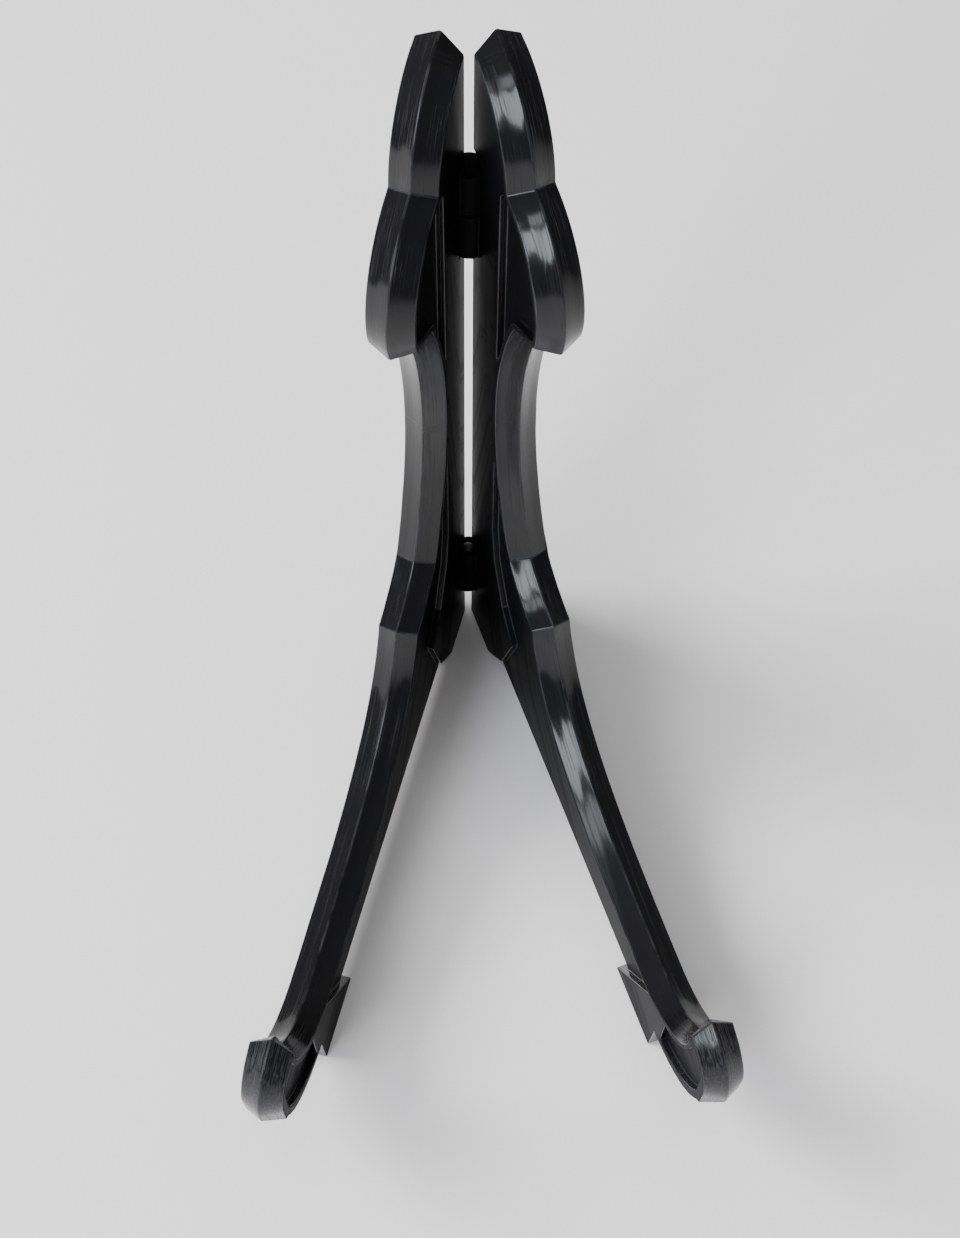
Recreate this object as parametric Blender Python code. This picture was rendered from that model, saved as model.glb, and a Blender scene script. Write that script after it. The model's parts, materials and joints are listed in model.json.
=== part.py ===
"""Folding album stand: two mirrored plastic halves joined by a book hinge.

Each half is one moulding that lies in a vertical plane through the hinge.  It
is drawn in that plane as (u, z): u runs forward from the hinge axis, z runs up
from the table.  The halves open into a V whose two lips hold an album.
Lengths are in millimetres here and become metres when a mesh is made.
"""

import math

import bmesh
import bpy
from mathutils import Vector

MM = 0.001

# The hinge and the opening of the V.
HALF_OPENING = math.radians(17.4)
MID_PLANE = 5.6             # from the hinge axis to the middle of each half
FOOT_REACH = 144.5          # from the hinge axis to the tip of the lip
REAR_EDGE = -2.7            # rear face of both halves, just behind the axis
REAR_CHAMFER = 2.0          # on the inner rear edges, so the halves can open

# Section of the moulding.
HALF_THICKNESS = 4.6
HALF_WEB = 2.9              # the recessed web is thinner than the rim
ROOF_DROP = 2.3             # the rim falls this far from its ridge to its side
RIM_SIDE = 1.2              # flat side of the rim, between roof and recess

# Two equal scallops crown the upright.
SCALLOP_RADIUS = 20.7
UPPER_SCALLOP = (-2.7, 175.5)
LOWER_SCALLOP = (13.8, 158.2)
SCALLOP_TIP_ANGLE = -18.0
CREST_FLAT = 11.0           # degrees of the crown left straight at the rear
TIP_FLAT = 8.0              # and of the tip

# Waist, arm and lip, from the underside of the lower scallop to the toe.
WAIST_TOP = (23.5, 145.3)
WAIST_MIDDLE = (15.5, 108.0)
WAIST_BOTTOM = (25.7, 66.9)
SHELF_MIDDLE = (32.4, 62.6)
KNEE = (40.7, 60.8)
ARM_HANDLES = ((48.5, 31.8), (80.0, 27.8))
SEAT_CENTRE = (113.0, 44.6)
SEAT_RADIUS = 17.3
LIP_BACK_TOP = (130.4, 48.9)
LIP_CROWN = (132.0, 51.4)
LIP_TOP = (135.0, 50.4)
LIP_FRONT = (141.6, 45.2)
LIP_NOSE = (144.6, 36.0)
TOE = (FOOT_REACH, 32.0)
BELLY_FRONT = (141.2, 28.2)
BELLY_MIDDLE = (135.6, 19.0)

# Spine and feet.
SPINE_FRONT = 13.0
ARCH_HEIGHT = 4.0
REAR_FOOT_FRONT = 12.5
REAR_FOOT_SLOPE = 1.21      # rise over run of the rear foot's front face
FRONT_FOOT = (101.3, 120.7)
FRONT_FOOT_TOP = (115.6, 23.8)
FRONT_FOOT_HEIGHT = 13.2

# Hinge barrels: bottom and top of each, along the axis.
BARREL_RADIUS = 3.15
BARREL_CLEARANCE = 0.45
BORE_RADIUS = 1.8
PIN_RADIUS = 1.5
PIN_ENDS = ((149.0, 165.5), (18.2, 34.6))
BARRELS = {
    "left": ((158.0, 168.3), (16.6, 22.0)),
    "right": ((146.0, 157.4), (22.6, 33.7)),
}
NOTCH_CLEARANCE = 0.35
BLOCK_GAP = 3.0             # open space over the uppermost barrel
CORNER_BOTTOM = 137.2
CORNER_FRONT = 7.8
CORNER_DEPTH = 1.2

ROUND_STEPS = 32


def clear_scene():
    for old in list(bpy.data.objects):
        bpy.data.objects.remove(old, do_unlink=True)


def plastic(name, colour, roughness):
    material = bpy.data.materials.new(name)
    material.use_nodes = True
    shader = material.node_tree.nodes["Principled BSDF"]
    shader.inputs["Base Color"].default_value = (*colour, 1.0)
    shader.inputs["Roughness"].default_value = roughness
    shader.inputs["Metallic"].default_value = 0.0
    return material


# ---------------------------------------------------------------- plane curves

def arc(centre, radius, start, end, steps):
    """Points on a circle, from one angle to another, both in degrees."""
    angles = [math.radians(start + (end - start) * i / steps) for i in range(steps + 1)]
    return [(centre[0] + radius * math.cos(a), centre[1] + radius * math.sin(a)) for a in angles]


def circle_through(a, b, c):
    """Centre of the circle that passes through three points."""
    ab = (b[0] - a[0], b[1] - a[1])
    ac = (c[0] - a[0], c[1] - a[1])
    cross = 2 * (ab[0] * ac[1] - ab[1] * ac[0])
    ab2 = ab[0] ** 2 + ab[1] ** 2
    ac2 = ac[0] ** 2 + ac[1] ** 2
    return (a[0] + (ac[1] * ab2 - ab[1] * ac2) / cross, a[1] + (ab[0] * ac2 - ac[0] * ab2) / cross)


def direction(centre, point):
    return math.degrees(math.atan2(point[1] - centre[1], point[0] - centre[0]))


def arc_through(a, b, c, steps):
    """The arc that starts at a, passes through b and ends at c."""
    centre = circle_through(a, b, c)
    start = direction(centre, a)
    middle = (direction(centre, b) - start + 180) % 360 - 180
    end = (direction(centre, c) - start) % 360
    if middle < 0:
        end -= 360
    return arc(centre, math.dist(centre, a), start, start + end, steps)


def bezier(a, b, c, d, steps):
    points = []
    for i in range(steps + 1):
        t = i / steps
        k = ((1 - t) ** 3, 3 * t * (1 - t) ** 2, 3 * t * t * (1 - t), t ** 3)
        points.append(tuple(k[0] * a[n] + k[1] * b[n] + k[2] * c[n] + k[3] * d[n] for n in (0, 1)))
    return points


def inset(points, distances):
    """Move each edge of a clockwise outline inwards by its own distance."""
    result = []
    count = len(points)
    for i in range(count):
        before, here, after = points[i - 1], points[i], points[(i + 1) % count]
        lines = []
        for start, end, gap in ((before, here, distances[i - 1]), (here, after, distances[i])):
            run = Vector((end[0] - start[0], end[1] - start[1])).normalized()
            inward = Vector((run.y, -run.x))
            lines.append((inward, inward.dot(Vector(here)) + gap))
        (n1, k1), (n2, k2) = lines
        cross = n1.x * n2.y - n1.y * n2.x
        if abs(cross) < 0.02:
            result.append((here[0] + n1.x * distances[i], here[1] + n1.y * distances[i]))
        else:
            result.append(((k1 * n2.y - k2 * n1.y) / cross, (n1.x * k2 - n2.x * k1) / cross))
    return result


# ------------------------------------------------------------ outline of a half

def scallops():
    """Both scallops, from the rear edge over the crown to the hanging tip."""
    span = (LOWER_SCALLOP[0] - UPPER_SCALLOP[0], LOWER_SCALLOP[1] - UPPER_SCALLOP[1])
    apart = math.hypot(*span)
    reach = math.sqrt(SCALLOP_RADIUS ** 2 - (apart / 2) ** 2)
    notch = (
        (UPPER_SCALLOP[0] + LOWER_SCALLOP[0]) / 2 - reach * span[1] / apart,
        (UPPER_SCALLOP[1] + LOWER_SCALLOP[1]) / 2 + reach * span[0] / apart,
    )
    start = math.degrees(math.acos((REAR_EDGE - UPPER_SCALLOP[0]) / SCALLOP_RADIUS))
    upper = arc(UPPER_SCALLOP, SCALLOP_RADIUS, start - CREST_FLAT, direction(UPPER_SCALLOP, notch), 24)
    upper.insert(0, arc(UPPER_SCALLOP, SCALLOP_RADIUS, start, start, 1)[0])
    tip = SCALLOP_TIP_ANGLE + TIP_FLAT
    lower = arc(LOWER_SCALLOP, SCALLOP_RADIUS, direction(LOWER_SCALLOP, notch), tip, 30)
    lower.append(arc(LOWER_SCALLOP, SCALLOP_RADIUS, tip, SCALLOP_TIP_ANGLE, 1)[1])
    return upper[:-1], lower


def waist():
    """The long hollow under the scallops and the small shelf above the knee."""
    hollow = arc_through(WAIST_TOP, WAIST_MIDDLE, WAIST_BOTTOM, 28)
    shelf = arc_through(WAIST_BOTTOM, SHELF_MIDDLE, KNEE, 6)
    return hollow[:-1] + shelf


def arm():
    """Top of the arm, from the knee down to the seat where the album stands."""
    low = (SEAT_CENTRE[0], SEAT_CENTRE[1] - SEAT_RADIUS)
    slope = bezier(KNEE, *ARM_HANDLES, low, 24)
    seat = arc(SEAT_CENTRE, SEAT_RADIUS, -90, -3, 20)
    return slope[1:-1] + seat


def lip():
    """The upturned lip, over its crown and down its nose to the toe."""
    nose = arc_through(LIP_TOP, LIP_FRONT, LIP_NOSE, 14)
    return [LIP_BACK_TOP, LIP_CROWN] + nose


def underside():
    """From the toe back under the lip, round both feet and up to the hinge."""
    belly = arc_through(BELLY_FRONT, BELLY_MIDDLE, (FRONT_FOOT[1] + 2.6, FRONT_FOOT_HEIGHT), 8)
    foot_run = (FRONT_FOOT_TOP[0] - FRONT_FOOT[0]) / FRONT_FOOT_TOP[1]
    return [TOE] + belly + [
        (FRONT_FOOT[1] + 0.6, FRONT_FOOT_HEIGHT),
        (FRONT_FOOT[1], 0.0),
        (FRONT_FOOT[0], 0.0),
        (FRONT_FOOT[0] + ARCH_HEIGHT * foot_run, ARCH_HEIGHT),
        (REAR_FOOT_FRONT + ARCH_HEIGHT / REAR_FOOT_SLOPE, ARCH_HEIGHT),
        (REAR_FOOT_FRONT, 0.0),
        (REAR_EDGE, 0.0),
    ]


def outline():
    """Clockwise outline of a half, and how far each of its edges is roofed."""
    upper, lower = scallops()
    roofed = upper + lower + waist() + arm() + lip()
    plain = underside()
    return roofed + plain, [ROOF_DROP] * len(roofed) + [0.0] * len(plain)


# -------------------------------------------------------------------- recesses

def rim_inside():
    """Inner edge of the rim: the outline moved in past the roof and the side."""
    points, drops = outline()
    return inset(points, [drop + RIM_SIDE if drop else 0.0 for drop in drops])


def upper_recess():
    """Recess between the lower scallop and the spine."""
    upper, lower = scallops()
    first = len(upper)
    last = first + len(lower) + 14
    edge = [p for p in rim_inside()[first:last] if p[0] > SPINE_FRONT + 0.4]
    return edge + [(SPINE_FRONT, edge[-1][1]), (SPINE_FRONT, edge[0][1] - 2.0)]


def lower_recess():
    """Recess from the waist to the front foot, open below the arm."""
    upper, lower = scallops()
    first = len(upper) + len(lower) + 17
    edge = [p for p in rim_inside()[first:] if SPINE_FRONT + 0.4 < p[0] < FRONT_FOOT_TOP[0] and p[1] > 20]
    drop = 1.0
    foot_run = (FRONT_FOOT_TOP[0] - FRONT_FOOT[0]) / FRONT_FOOT_TOP[1]
    return edge + [
        FRONT_FOOT_TOP,
        (FRONT_FOOT[0] - drop * foot_run, -drop),
        (REAR_FOOT_FRONT - drop / REAR_FOOT_SLOPE, -drop),
        (21.5, 10.9),
        (27.9, 30.6),
        (20.7, 37.8),
        (14.8, 50.0),
        (SPINE_FRONT, 62.0),
        (SPINE_FRONT, edge[0][1] - 1.0),
    ]


def lip_recess():
    """Shallow recess in the side of the lip, inside a narrow border."""
    seat = arc(SEAT_CENTRE, SEAT_RADIUS + ROOF_DROP + RIM_SIDE, -58, -8, 10)
    crown = arc_through((134.0, 45.2), (137.6, 44.2), (139.9, 38.5), 6)
    belly = arc_through((139.9, 31.5), (135.2, 22.4), (124.0, 15.4), 8)
    return seat + crown + belly


# ---------------------------------------------------------------- mesh building

def to_local(side, u, across, z):
    """Object space: the hinge axis is local Z and the half lies towards -Y."""
    return Vector((side * (MID_PLANE + across), -u, z)) * MM


def mesh_object(name, bm):
    bmesh.ops.recalc_face_normals(bm, faces=bm.faces)
    mesh = bpy.data.meshes.new(name)
    bm.to_mesh(mesh)
    bm.free()
    result = bpy.data.objects.new(name, mesh)
    bpy.context.scene.collection.objects.link(result)
    return result


def loft(name, side, layers):
    """Join equal outlines, each at its own distance across the half."""
    bm = bmesh.new()
    rings = [[bm.verts.new(to_local(side, u, across, z)) for u, z in points] for points, across in layers]
    count = len(rings[0])
    for lower, upper in zip(rings, rings[1:]):
        for i in range(count):
            j = (i + 1) % count
            bm.faces.new((lower[i], lower[j], upper[j], upper[i]))
    bm.faces.new(rings[0])
    bm.faces.new(rings[-1])
    return mesh_object(name, bm)


def roofed_plate(name, side):
    """The solid half: its edge rises to a ridge along the middle plane."""
    ridge, drops = outline()
    outer = inset(ridge, drops)
    inner = inset(ridge, drops[:-1] + [REAR_CHAMFER])
    return loft(name, side, ((inner, -HALF_THICKNESS), (ridge, 0.0), (outer, HALF_THICKNESS)))


def cylinder(name, radius, bottom, top, steps=ROUND_STEPS):
    bm = bmesh.new()
    rings = []
    for z in (bottom, top):
        circle = arc((0.0, 0.0), radius, 0, 360, steps)[:-1]
        rings.append([bm.verts.new(Vector((x, y, z)) * MM) for x, y in circle])
    for i in range(steps):
        j = (i + 1) % steps
        bm.faces.new((rings[0][i], rings[0][j], rings[1][j], rings[1][i]))
    bm.faces.new(rings[0])
    bm.faces.new(rings[1])
    return mesh_object(name, bm)


def apply_boolean(target, tool, operation):
    """Combine the target with a hidden tool that shares its place."""
    tool.parent = target
    tool.hide_render = True
    tool.display_type = "WIRE"
    modifier = target.modifiers.new(tool.name, "BOOLEAN")
    modifier.operation = operation
    modifier.object = tool


def cut_recesses(half, side):
    """Recess both faces of the half down to the web."""
    for label, points in (("upper", upper_recess()), ("lower", lower_recess()), ("lip", lip_recess())):
        for face, sign in (("inner", -1), ("outer", 1)):
            name = f"{half.name}_{label}_{face}_recess"
            layers = ((points, sign * HALF_WEB), (points, sign * (HALF_THICKNESS + 1.0)))
            apply_boolean(half, loft(name, side, layers), "DIFFERENCE")


def cut_notches(half, other):
    """Round hollows in the spine, where the other half's barrels turn."""
    for index, (bottom, top) in enumerate(BARRELS[other]):
        top += BLOCK_GAP if (other, index) == ("left", 0) else NOTCH_CLEARANCE
        name = f"{half.name}_notch_{index}"
        radius = BARREL_RADIUS + BARREL_CLEARANCE
        apply_boolean(half, cylinder(name, radius, bottom - NOTCH_CLEARANCE, top), "DIFFERENCE")


def cut_corner(half, side):
    """Slope the spine's inner rear corner away under the upper left barrel."""
    top = BARRELS["left"][0][0] - NOTCH_CLEARANCE
    rear = REAR_EDGE - 1.3
    wide = ((rear, CORNER_BOTTOM), (rear, top), (CORNER_FRONT, top))
    narrow = [(rear + (u - rear) * 0.02, top + (z - top) * 0.02) for u, z in wide]
    layers = ((wide, -HALF_THICKNESS - 0.5), (narrow, CORNER_DEPTH))
    apply_boolean(half, loft(f"{half.name}_corner", side, layers), "DIFFERENCE")


def add_barrels(half, own):
    """Barrels on the hinge axis, each sunk into the inner face of the spine."""
    for index, (bottom, top) in enumerate(BARRELS[own]):
        barrel = cylinder(f"{half.name}_barrel_{index}", BARREL_RADIUS, bottom, top)
        apply_boolean(half, barrel, "UNION")


def bore_barrels(half):
    """Clearance round both pins; only the lower pin's top end is in the open."""
    for index, (bottom, top) in enumerate(PIN_ENDS):
        bore = cylinder(f"{half.name}_bore_{index}", BORE_RADIUS, bottom - 0.4, top + 0.4)
        apply_boolean(half, bore, "DIFFERENCE")


def place_on_hinge(thing, hinge_y, turn):
    thing.location = (0.0, hinge_y, 0.0)
    thing.rotation_euler = (0.0, 0.0, turn)


def make_half(own, other, side, hinge_y):
    half = roofed_plate(f"{own}_half", side)
    half.data.materials.append(plastic(f"{own}_half", (0.012, 0.012, 0.014), 0.2))
    cut_recesses(half, side)
    cut_notches(half, other)
    if own == "left":
        cut_corner(half, side)
    add_barrels(half, own)
    bore_barrels(half)
    half.data.shade_smooth()
    half.data.set_sharp_from_angle(angle=math.radians(25))
    place_on_hinge(half, hinge_y, side * HALF_OPENING)
    return half


def make_pin(name, index, hinge_y):
    """A round pin with domed ends."""
    bottom, top = PIN_ENDS[index]
    dome = arc((0.0, 0.0), PIN_RADIUS, 0, 90, 6)
    low = [(r, bottom + PIN_RADIUS - h) for r, h in reversed(dome[:-1])]
    high = [(r, top - PIN_RADIUS + h) for r, h in dome[:-1]]
    bm = bmesh.new()
    rings = []
    for radius, z in low + high:
        circle = arc((0.0, 0.0), radius, 0, 360, ROUND_STEPS)[:-1]
        rings.append([bm.verts.new(Vector((x, y, z)) * MM) for x, y in circle])
    for first, second in zip(rings, rings[1:]):
        for i in range(ROUND_STEPS):
            j = (i + 1) % ROUND_STEPS
            bm.faces.new((first[i], first[j], second[j], second[i]))
    for ring, z in ((rings[0], bottom), (rings[-1], top)):
        pole = bm.verts.new(Vector((0.0, 0.0, z)) * MM)
        for i in range(ROUND_STEPS):
            bm.faces.new((ring[i], ring[(i + 1) % ROUND_STEPS], pole))
    pin = mesh_object(name, bm)
    pin.data.materials.append(plastic(name, (0.02, 0.02, 0.022), 0.3))
    pin.data.shade_smooth()
    pin.data.set_sharp_from_angle(angle=math.radians(40))
    place_on_hinge(pin, hinge_y, 0.0)
    return pin


def hinge_offset():
    """Distance that puts the origin midway between the rear edge and the toe."""
    rear = (MID_PLANE + HALF_THICKNESS) * math.sin(HALF_OPENING) - REAR_EDGE * math.cos(HALF_OPENING)
    front = LIP_NOSE[0] * math.cos(HALF_OPENING) - MID_PLANE * math.sin(HALF_OPENING)
    return (front - rear) / 2 * MM


def main():
    clear_scene()
    hinge_y = hinge_offset()
    make_half("left", "right", -1, hinge_y)
    make_half("right", "left", 1, hinge_y)
    make_pin("upper_hinge_pin", 0, hinge_y)
    make_pin("lower_hinge_pin", 1, hinge_y)


main()
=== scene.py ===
import json
import math

import bmesh
import bpy
from mathutils import Matrix, Vector


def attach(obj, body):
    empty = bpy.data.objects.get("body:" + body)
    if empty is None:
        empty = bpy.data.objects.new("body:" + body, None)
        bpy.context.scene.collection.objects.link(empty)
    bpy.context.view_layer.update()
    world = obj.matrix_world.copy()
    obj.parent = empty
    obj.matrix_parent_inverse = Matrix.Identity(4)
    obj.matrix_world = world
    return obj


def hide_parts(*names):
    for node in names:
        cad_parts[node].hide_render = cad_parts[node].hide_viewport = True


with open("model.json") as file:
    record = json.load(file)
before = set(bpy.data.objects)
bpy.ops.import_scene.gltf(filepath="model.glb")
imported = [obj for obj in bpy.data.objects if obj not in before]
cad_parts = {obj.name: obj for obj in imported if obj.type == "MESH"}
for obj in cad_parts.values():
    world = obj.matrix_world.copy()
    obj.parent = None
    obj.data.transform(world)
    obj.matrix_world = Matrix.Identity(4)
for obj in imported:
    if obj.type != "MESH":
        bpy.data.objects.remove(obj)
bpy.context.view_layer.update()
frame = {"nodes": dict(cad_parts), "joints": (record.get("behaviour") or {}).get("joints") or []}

MM = 0.001

# Camera: its place from the frame's origin, its right and up directions, and its lens.
# Millimetres, except the clipping range, which is in metres.
CAMERA_PLACE = (-8.97, -156.87, 413.21)
CAMERA_RIGHT = (0.99910, -0.04189, 0.00658)
CAMERA_UP = (0.03387, 0.88169, 0.47062)
CAMERA_LENS = 52.34
CAMERA_CLIP = (0.01, 20.0)
SENSOR = 36.0

# The room: one colour all round, a pale floor and four area lights.
WORLD_COLOUR = (0.90, 0.94, 1.0, 1.0)
WORLD_STRENGTH = 0.12
FLOOR_COLOUR = (0.84, 0.82, 0.825, 1.0)
FLOOR_ROUGHNESS = 0.6
FLOOR_SIZE = 3.0
COOL = (0.88, 0.94, 1.0)
NEUTRAL = (1.0, 0.99, 0.98)
# Name, place, height of the point aimed at, size, power, colour, shows in reflections.
# Metres and watts.
LIGHTS = (
    ("window", (-0.98, -1.16, 1.28), 0.08, (0.62, 1.15), 31.0, COOL, True),
    ("window_side", (-1.24, -0.55, 1.46), 0.08, (0.3, 0.75), 5.0, COOL, True),
    ("side_fill", (-1.5, 0.4, 1.3), 0.05, (0.9, 0.9), 60.0, NEUTRAL, False),
    ("overhead", (-0.15, 0.15, 1.7), 0.05, (1.8, 1.8), 24.0, NEUTRAL, False),
)

# A half's own plane: how far its ridge lies from the hinge axis and from its flank, in
# millimetres, and its turn from straight ahead. Then, in metres, the hinge axis, the
# middle of the half's sweep, and where the lip's scuffs start and how far they fade in.
MID_PLANE = 5.6
HALF_THICKNESS = 4.6
HALF_OPENING = math.radians(17.4)
HINGE_Y = frame["joints"][0]["pos_m"][1]
SWEEP_CENTRE = 0.105
LIP_START = 0.127
LIP_FADE = 0.004

# Rounding and shading of the halves. The merging distance and the barrels' reach are in
# metres, the other lengths in millimetres. Edges shorter than the shortest stay sharp.
MERGE_DISTANCE = 1e-6
SHARP_ANGLE = math.radians(18)
SMOOTH_ANGLE = math.radians(40)
EDGE_ROUND = 0.28
SHORTEST_ROUNDED = 0.55
FLANK_FACING = 0.8
BARREL_REACH = 0.0042

# Noise scales along the rim and across it, per metre.
STREAKS = (60.0, 2600.0, 1.0)
PATCHES = (16.0, 240.0, 1.0)
SCRATCHES = (25.0, 9000.0, 1.0)
SCRAPES = (700.0, 3000.0, 1.0)
RIPPLE = (7.0, 420.0, 1.0)
# Noise scales across the pins and along them, per metre.
PIN_RINGS = (40.0, 40.0, 5200.0)
PIN_BANDS = (60.0, 60.0, 420.0)
# Noise scales that are the same in every direction, per metre.
SMUDGE_SCALE = 140.0
TONE_SCALE = 90.0
GRAIN_SCALE = 1800.0
PIN_GRAIN_SCALE = 2200.0

# The halves' plastic. Relief depths are in metres.
PLASTIC_ROUGHNESS = 0.11
RUBBED_ROUGHNESS = 0.20
SMUDGE_ROUGHNESS = 0.03
WORN_ROUGHNESS = 0.12
SCUFFED_ROUGHNESS = 0.22
FLANK_ROUGHNESS = 0.24
PLASTIC_SPECULAR = 0.30
FLANK_SPECULAR_DROP = 0.288
PLASTIC_IOR = 1.5
PLASTIC_TONES = ((0.3, (0.0062, 0.0063, 0.0068)), (0.7, (0.0074, 0.0074, 0.0076)))
# Worn edge strips and scuffed lips are mixed towards a lighter grey. This is real wear, and on
# the rounded edge strips it is also a painted highlight standing in for the light lines along
# them.
WEAR_AND_HIGHLIGHT_AMOUNT = 0.45
WEAR_AND_HIGHLIGHT_COLOUR = (0.045, 0.047, 0.05, 1.0)
SINK_DEPTH = 0.00005        # each facet of the rim is slightly hollow across its width
RIPPLE_DEPTH = 0.00006
MARK_DEPTH = 0.00002
GRAIN_DEPTH = 0.000005
MARK_STRENGTH = 0.8
GRAIN_STRENGTH = 0.6

# The pins' plastic.
PIN_ROUGHNESS = 0.16
PIN_BAND_ROUGHNESS = 0.16
PIN_TONES = ((0.0, (0.012, 0.012, 0.013)), (1.0, (0.05, 0.05, 0.052)))
RING_DEPTH = 0.00002
PIN_GRAIN_DEPTH = 0.00001


def add_object(name, data):
    obj = bpy.data.objects.new(name, data)
    bpy.context.scene.collection.objects.link(obj)
    return obj


def camera():
    data = bpy.data.cameras.new("camera")
    data.sensor_fit = "VERTICAL"
    data.sensor_height = SENSOR
    data.lens = CAMERA_LENS
    data.clip_start, data.clip_end = CAMERA_CLIP
    obj = add_object("camera", data)
    right = Vector(CAMERA_RIGHT).normalized()
    up = Vector(CAMERA_UP)
    up = (up - right * up.dot(right)).normalized()
    back = right.cross(up)
    basis = Matrix((right, up, back)).transposed().to_4x4()
    obj.matrix_world = Matrix.Translation(Vector(CAMERA_PLACE) * MM) @ basis
    bpy.context.scene.camera = obj


def area_light(name, place, aim_height, size, power, colour, mirrored):
    data = bpy.data.lights.new(name, "AREA")
    data.shape = "RECTANGLE"
    data.size, data.size_y = size
    data.energy = power
    data.color = colour
    obj = add_object(name, data)
    obj.location = place
    obj.visible_glossy = mirrored
    direction = Vector((0.0, 0.0, aim_height)) - Vector(place)
    obj.rotation_euler = direction.to_track_quat("-Z", "Y").to_euler()


def studio():
    world = bpy.data.worlds.new("studio")
    world.use_nodes = True
    background = world.node_tree.nodes["Background"]
    background.inputs["Color"].default_value = WORLD_COLOUR
    background.inputs["Strength"].default_value = WORLD_STRENGTH
    bpy.context.scene.world = world
    for light in LIGHTS:
        area_light(*light)


def floor():
    bm = bmesh.new()
    bmesh.ops.create_grid(bm, x_segments=1, y_segments=1, size=FLOOR_SIZE)
    mesh = bpy.data.meshes.new("floor")
    bm.to_mesh(mesh)
    bm.free()
    obj = add_object("floor", mesh)
    material = bpy.data.materials.new("pale_floor")
    material.use_nodes = True
    shader = material.node_tree.nodes["Principled BSDF"]
    shader.inputs["Base Color"].default_value = FLOOR_COLOUR
    shader.inputs["Roughness"].default_value = FLOOR_ROUGHNESS
    mesh.materials.append(material)


# ------------------------------------------------------------------- materials

class Nodes:
    """A short way to build a shader's node tree."""

    def __init__(self, name):
        self.material = bpy.data.materials.new(name)
        self.material.use_nodes = True
        self.tree = self.material.node_tree
        self.shader = self.tree.nodes["Principled BSDF"]

    def link(self, source, target):
        self.tree.links.new(source, target)

    def node(self, kind, **values):
        made = self.tree.nodes.new(kind)
        for key, value in values.items():
            setattr(made, key, value)
        return made

    def attribute(self, name, output="Fac"):
        return self.node("ShaderNodeAttribute", attribute_name=name).outputs[output]

    def math(self, operation, a, b=0.0):
        made = self.node("ShaderNodeMath", operation=operation)
        for socket, value in zip(made.inputs, (a, b)):
            if isinstance(value, (int, float)):
                socket.default_value = value
            else:
                self.link(value, socket)
        return made.outputs[0]

    def noise(self, vector, scale, detail=3.0, roughness=0.5, distortion=0.0):
        made = self.node("ShaderNodeTexNoise")
        made.inputs["Scale"].default_value = scale
        made.inputs["Detail"].default_value = detail
        made.inputs["Roughness"].default_value = roughness
        made.inputs["Distortion"].default_value = distortion
        self.link(vector, made.inputs["Vector"])
        return made.outputs["Fac"]

    def stretched_noise(self, vector, scale, *settings):
        mapping = self.node("ShaderNodeMapping")
        mapping.inputs["Scale"].default_value = scale
        self.link(vector, mapping.inputs["Vector"])
        return self.noise(mapping.outputs["Vector"], 1.0, *settings)

    def ramp(self, value, stops):
        made = self.node("ShaderNodeValToRGB")
        elements = made.color_ramp.elements
        for element, (position, colour) in zip(elements, stops):
            element.position = position
            if isinstance(colour, (int, float)):
                colour = (colour, colour, colour)
            element.color = (*colour, 1.0)
        self.link(value, made.inputs["Fac"])
        return made.outputs["Color"]

    def bump(self, height, distance, strength=1.0, below=None):
        made = self.node("ShaderNodeBump")
        made.inputs["Strength"].default_value = strength
        made.inputs["Distance"].default_value = distance
        self.link(height, made.inputs["Height"])
        if below is not None:
            self.link(below, made.inputs["Normal"])
        return made.outputs["Normal"]


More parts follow.
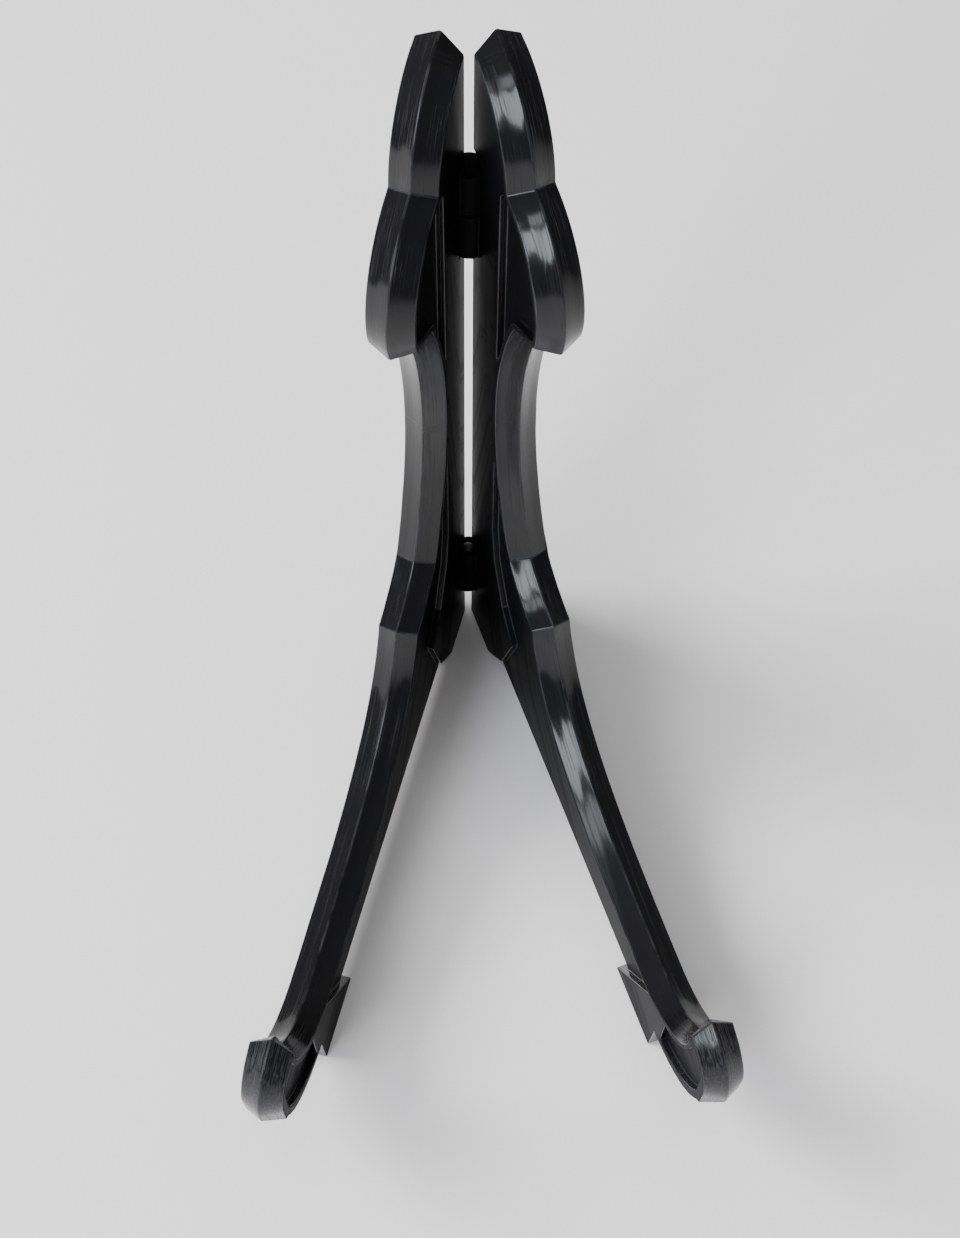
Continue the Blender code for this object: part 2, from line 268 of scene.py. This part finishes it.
def glossy_plastic(name):
    """Black moulded plastic: a polished, rubbed rim, scuffed lips and duller flanks."""
    n = Nodes(name)
    place = n.node("ShaderNodeTexCoord").outputs["Object"]
    rim = n.attribute("rim", "Vector")
    edge = n.attribute("edge")
    flank = n.attribute("flank")
    lip = n.attribute("lip")
    split = n.node("ShaderNodeSeparateXYZ")
    n.link(rim, split.inputs["Vector"])
    aside = n.math("ABSOLUTE", n.math("SUBTRACT", split.outputs["Y"], MID_PLANE * MM))
    one_facet = 2 * math.pi / (HALF_THICKNESS * MM)
    sink = n.math("COSINE", n.math("MULTIPLY", aside, one_facet))

    streaks = n.stretched_noise(rim, STREAKS, 4.0, 0.6)
    patches = n.stretched_noise(rim, PATCHES, 3.0, 0.55)
    rubbed = n.ramp(n.math("MULTIPLY", streaks, patches), ((0.27, 0.0), (0.42, 1.0)))
    scratches = n.stretched_noise(rim, SCRATCHES, 2.0, 0.5, 0.4)
    fine = n.ramp(scratches, ((0.60, 0.0), (0.72, 1.0)))
    smudge = n.noise(place, SMUDGE_SCALE, 5.0, 0.6)
    # Worn patches along the rounded edge strips. Their lighter colour below is partly a painted
    # highlight.
    edge_wear_and_highlight = n.math("MULTIPLY", edge, n.ramp(smudge, ((0.38, 0.0), (0.62, 1.0))))
    scrapes = n.ramp(n.stretched_noise(rim, SCRAPES, 4.0, 0.7), ((0.46, 0.0), (0.60, 1.0)))
    scuffed = n.math("MULTIPLY", lip, scrapes)

    roughness = n.math("ADD", PLASTIC_ROUGHNESS, n.math("MULTIPLY", rubbed, RUBBED_ROUGHNESS))
    for mask, amount in (
        (smudge, SMUDGE_ROUGHNESS),
        (edge_wear_and_highlight, WORN_ROUGHNESS),
        (scuffed, SCUFFED_ROUGHNESS),
        (flank, FLANK_ROUGHNESS),
    ):
        roughness = n.math("ADD", roughness, n.math("MULTIPLY", mask, amount))
    n.link(roughness, n.shader.inputs["Roughness"])
    duller = n.math("MULTIPLY", flank, FLANK_SPECULAR_DROP)
    specular = n.math("SUBTRACT", PLASTIC_SPECULAR, duller)
    n.link(specular, n.shader.inputs["Specular IOR Level"])

    tone = n.ramp(n.noise(place, TONE_SCALE, 2.0), PLASTIC_TONES)
    # Lighter grey on worn edges and scuffed lips: wear, and on the edges also a painted
    # highlight.
    wear_and_highlight = n.math("MULTIPLY", n.math("MAXIMUM", edge_wear_and_highlight, scuffed), WEAR_AND_HIGHLIGHT_AMOUNT)
    mix = n.node("ShaderNodeMix", data_type="RGBA")
    n.link(wear_and_highlight, mix.inputs["Factor"])
    n.link(tone, mix.inputs["A"])
    mix.inputs["B"].default_value = WEAR_AND_HIGHLIGHT_COLOUR
    n.link(mix.outputs["Result"], n.shader.inputs["Base Color"])

    relief = n.bump(sink, SINK_DEPTH)
    relief = n.bump(n.stretched_noise(rim, RIPPLE, 2.0, 0.4), RIPPLE_DEPTH, 1.0, relief)
    for marks in (fine, scuffed):
        relief = n.bump(marks, MARK_DEPTH, MARK_STRENGTH, relief)
    grain = n.noise(place, GRAIN_SCALE, 3.0, 0.6)
    relief = n.bump(grain, GRAIN_DEPTH, GRAIN_STRENGTH, relief)
    n.link(relief, n.shader.inputs["Normal"])
    n.shader.inputs["IOR"].default_value = PLASTIC_IOR
    return n.material


def satin_plastic(name):
    """Black pegs: turned by the barrels, so finely ringed and rubbed grey in bands."""
    n = Nodes(name)
    place = n.node("ShaderNodeTexCoord").outputs["Object"]
    rings = n.stretched_noise(place, PIN_RINGS, 3.0, 0.6)
    bands = n.stretched_noise(place, PIN_BANDS, 3.0, 0.5)
    bands = n.ramp(bands, ((0.42, 0.0), (0.62, 1.0)))
    roughness = n.math("ADD", PIN_ROUGHNESS, n.math("MULTIPLY", bands, PIN_BAND_ROUGHNESS))
    n.link(roughness, n.shader.inputs["Roughness"])
    n.link(n.ramp(bands, PIN_TONES), n.shader.inputs["Base Color"])
    relief = n.bump(rings, RING_DEPTH, MARK_STRENGTH)
    grain = n.noise(place, PIN_GRAIN_SCALE, 3.0, 0.6)
    relief = n.bump(grain, PIN_GRAIN_DEPTH, GRAIN_STRENGTH, relief)
    n.link(relief, n.shader.inputs["Normal"])
    return n.material


# -------------------------------------------------------------- visible pieces

def rounded_copy(node, name):
    """The node's shape with its sharp edges rounded and the rounded strips marked."""
    bm = bmesh.new()
    bm.from_mesh(node.data)
    bmesh.ops.remove_doubles(bm, verts=bm.verts, dist=MERGE_DISTANCE)
    edge = bm.faces.layers.float.new("edge")
    sharp = [
        e for e in bm.edges
        if len(e.link_faces) == 2 and e.calc_face_angle(0.0) > SHARP_ANGLE
        and e.calc_length() > SHORTEST_ROUNDED * MM
    ]
    made = bmesh.ops.bevel(
        bm, geom=sharp, offset=EDGE_ROUND * MM, offset_type="OFFSET", segments=2,
        profile=0.5, affect="EDGES", clamp_overlap=False, loop_slide=False,
    )
    for face in made["faces"]:
        face[edge] = 1.0
    mesh = bpy.data.meshes.new(name)
    bm.to_mesh(mesh)
    bm.free()
    return add_object(name, mesh)


def add_rim_coordinates(obj, side):
    """Store where each point lies on the moulding, for the plastic's streaks and marks."""
    mesh = obj.data
    across = Vector((side * math.cos(HALF_OPENING), math.sin(HALF_OPENING), 0.0))
    forward = Vector((side * math.sin(HALF_OPENING), -math.cos(HALF_OPENING), 0.0))
    rim, lip = [], []
    for vert in mesh.vertices:
        point = vert.co - Vector((0.0, HINGE_Y, 0.0))
        u, w, z = point.dot(forward), point.dot(across), point.z
        out, up = u - SWEEP_CENTRE, z - SWEEP_CENTRE
        rim.append((math.hypot(out, up) * math.atan2(up, out), w, 0.0))
        lip.append(min(1.0, max(0.0, (u - LIP_START) / LIP_FADE)))
    for name, kind, field, values in (
        ("rim", "FLOAT_VECTOR", "vector", rim),
        ("lip", "FLOAT", "value", lip),
    ):
        layer = mesh.attributes.new(name, kind, "POINT")
        for item, value in zip(layer.data, values):
            setattr(item, field, value)
    flank = mesh.attributes.new("flank", "FLOAT", "FACE")
    for face, item in zip(mesh.polygons, flank.data):
        from_axis = face.center - Vector((0.0, HINGE_Y, face.center.z))
        on_flank = abs(face.normal.dot(across)) > FLANK_FACING
        item.value = 1.0 if on_flank or from_axis.length < BARREL_REACH else 0.0


def finish_piece(obj, node_name, body, material):
    obj.data.materials.clear()
    obj.data.materials.append(material)
    obj.data.shade_smooth()
    obj.data.set_sharp_from_angle(angle=SMOOTH_ANGLE)
    normals = obj.modifiers.new("normals", "WEIGHTED_NORMAL")
    normals.weight = 100
    normals.keep_sharp = True
    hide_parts(node_name)
    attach(obj, body)


camera()
studio()
floor()
plastic = glossy_plastic("black_plastic")
pin_plastic = satin_plastic("rubbed_pin_plastic")
for body, side in (("left", -1), ("right", 1)):
    node_name = f"{body}_half"
    piece = rounded_copy(frame["nodes"][node_name], f"{body}_half_moulding")
    add_rim_coordinates(piece, side)
    finish_piece(piece, node_name, body, plastic)
for node_name in ("upper_hinge_pin", "lower_hinge_pin"):
    node = frame["nodes"][node_name]
    node.data.materials.clear()
    node.data.materials.append(pin_plastic)
